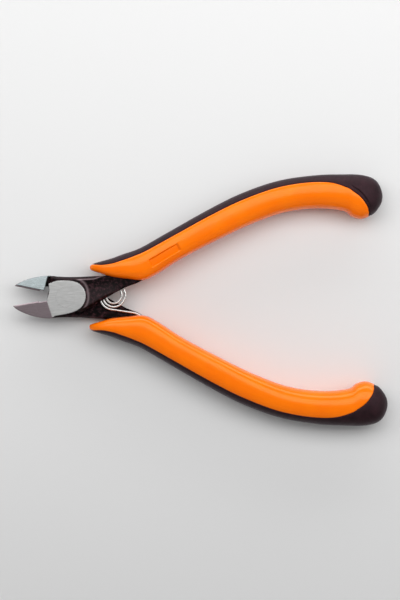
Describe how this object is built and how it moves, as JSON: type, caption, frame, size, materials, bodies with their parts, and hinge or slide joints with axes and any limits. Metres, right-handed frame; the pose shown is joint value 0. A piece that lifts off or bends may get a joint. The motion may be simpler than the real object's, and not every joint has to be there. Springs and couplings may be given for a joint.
{
  "type": "diagonal cutter",
  "caption": "Compact diagonal cutter with crossed forged levers on a flush rivet, a wire return spring and bowed two-tone handles.",
  "frame": {"origin": "on the pivot axis, at the rear ground face of the lap joint", "axes": "+X from the pivot towards the handles, +Y towards the upper handle, +Z along the pivot towards the front face"},
  "size_m": [0.1315, 0.0888, 0.0124],
  "materials": {
    "lever_steel": "ground faces on a black forging",
    "rivet_steel": "ground flush",
    "spring_wire": "bright drawn wire",
    "orange_plastic": "satin moulded",
    "black_soft_grip": "matt soft touch"
  },
  "bodies": {
    "front_half": {"front_lever": "lever_steel", "pivot_rivet": "rivet_steel", "upper_handle_core": "orange_plastic", "upper_handle_grip": "black_soft_grip"},
    "rear_half": {"rear_lever": "lever_steel", "lower_handle_core": "orange_plastic", "lower_handle_grip": "black_soft_grip"},
    "spring": {"return_spring": "spring_wire"}
  },
  "joints": [
    {"name": "jaw_pivot", "type": "hinge", "parent": "front_half", "child": "rear_half", "pos_m": [0, 0, 0], "axis": [0, 0, 1], "range_deg": [-4, 21], "stiffness_Nm_per_rad": 0.8, "deforming": ["return_spring"]},
    {"name": "spring_swing", "type": "hinge", "parent": "front_half", "child": "spring", "pos_m": [0, 0, 0], "axis": [0, 0, 1], "range_deg": [-2, 10.5]}
  ],
  "couplings": [
    {"joint": "spring_swing", "follows": "jaw_pivot", "ratio": 0.5}
  ]
}
